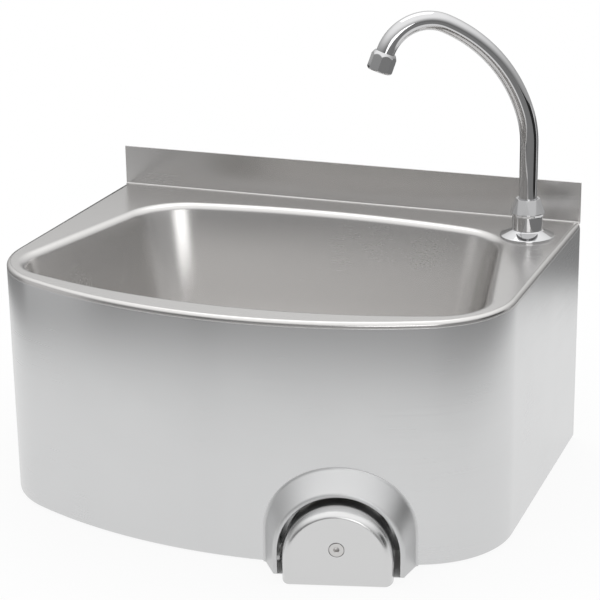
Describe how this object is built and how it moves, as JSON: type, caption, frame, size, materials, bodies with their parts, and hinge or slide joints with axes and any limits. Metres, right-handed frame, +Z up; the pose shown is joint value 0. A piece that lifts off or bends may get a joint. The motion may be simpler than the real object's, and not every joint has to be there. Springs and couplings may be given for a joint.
{
  "type": "hand wash sink",
  "caption": "Wall-hung stainless hand wash sink with bowed apron, deep drawn bowl, swan neck spout and knee-operated push valve.",
  "frame": {"origin": "middle of the line of the wall bracket's two fixing holes, on the wall's face", "axes": "+Z up, +Y towards the wall, +X to the right of a person who washes"},
  "size_m": [0.45, 0.3693, 0.4137],
  "materials": {
    "stainless": "satin",
    "chrome": "polished",
    "nickel_brass": "nickelled",
    "seal_rubber": "matt",
    "plastic": "moulded"
  },
  "bodies": {
    "sink": {"basin_top": "stainless", "apron": "stainless", "knee_collar": "stainless", "valve_carrier": "stainless", "hanging_rail": "stainless", "wall_bracket": "stainless", "waste_strainer": "stainless", "waste_screw": "stainless", "return_spring": "stainless", "shank_washer": "stainless", "spout_flange": "chrome", "spout_body": "chrome", "union_nut": "chrome", "outlet_pipe": "chrome", "waste_body": "nickel_brass", "shank_nut": "nickel_brass", "valve_body": "nickel_brass", "valve_cap": "nickel_brass", "neck_nut": "nickel_brass", "mixer_body": "nickel_brass", "cold_check_valve": "nickel_brass", "hot_check_valve": "nickel_brass", "link_nut": "nickel_brass", "valve_pipe_nut": "nickel_brass", "spout_pipe_nut": "nickel_brass", "valve_olive": "nickel_brass", "spout_olive": "nickel_brass", "cold_filter": "nickel_brass", "hot_filter": "nickel_brass", "waste_seal_upper": "seal_rubber", "waste_seal_lower": "seal_rubber", "deck_seal": "seal_rubber", "swivel_seal": "seal_rubber", "link_seal": "seal_rubber", "guide_bush": "plastic"},
    "knee_push": {"knee_pad": "stainless", "pad_screw": "stainless", "push_rod": "stainless", "valve_piston": "nickel_brass", "piston_seal": "seal_rubber"},
    "swan_neck": {"spout_tube": "chrome", "aerator_housing": "chrome", "aerator_insert": "plastic", "aerator_seal": "seal_rubber"},
    "mixer_control": {"temperature_knob": "plastic", "mixer_spindle": "nickel_brass", "knob_screw": "nickel_brass"}
  },
  "joints": [
    {"name": "knee_push", "type": "slide", "parent": "sink", "child": "knee_push", "axis": [-0.2541, 0.9672, 0], "range_m": [0, 0.012], "stiffness_N_per_m": 1000, "springref_m": -0.01, "deforming": ["return_spring"]},
    {"name": "neck_swivel", "type": "hinge", "parent": "sink", "child": "swan_neck", "pos_m": [0.19, -0.056, 0.05], "axis": [0, 0, 1], "range_deg": [-50, 165]},
    {"name": "temperature_turn", "type": "hinge", "parent": "sink", "child": "mixer_control", "pos_m": [-0.08805, -0.30001, -0.128], "axis": [0.9672, 0.2541, 0], "range_deg": [-60, 60]}
  ]
}
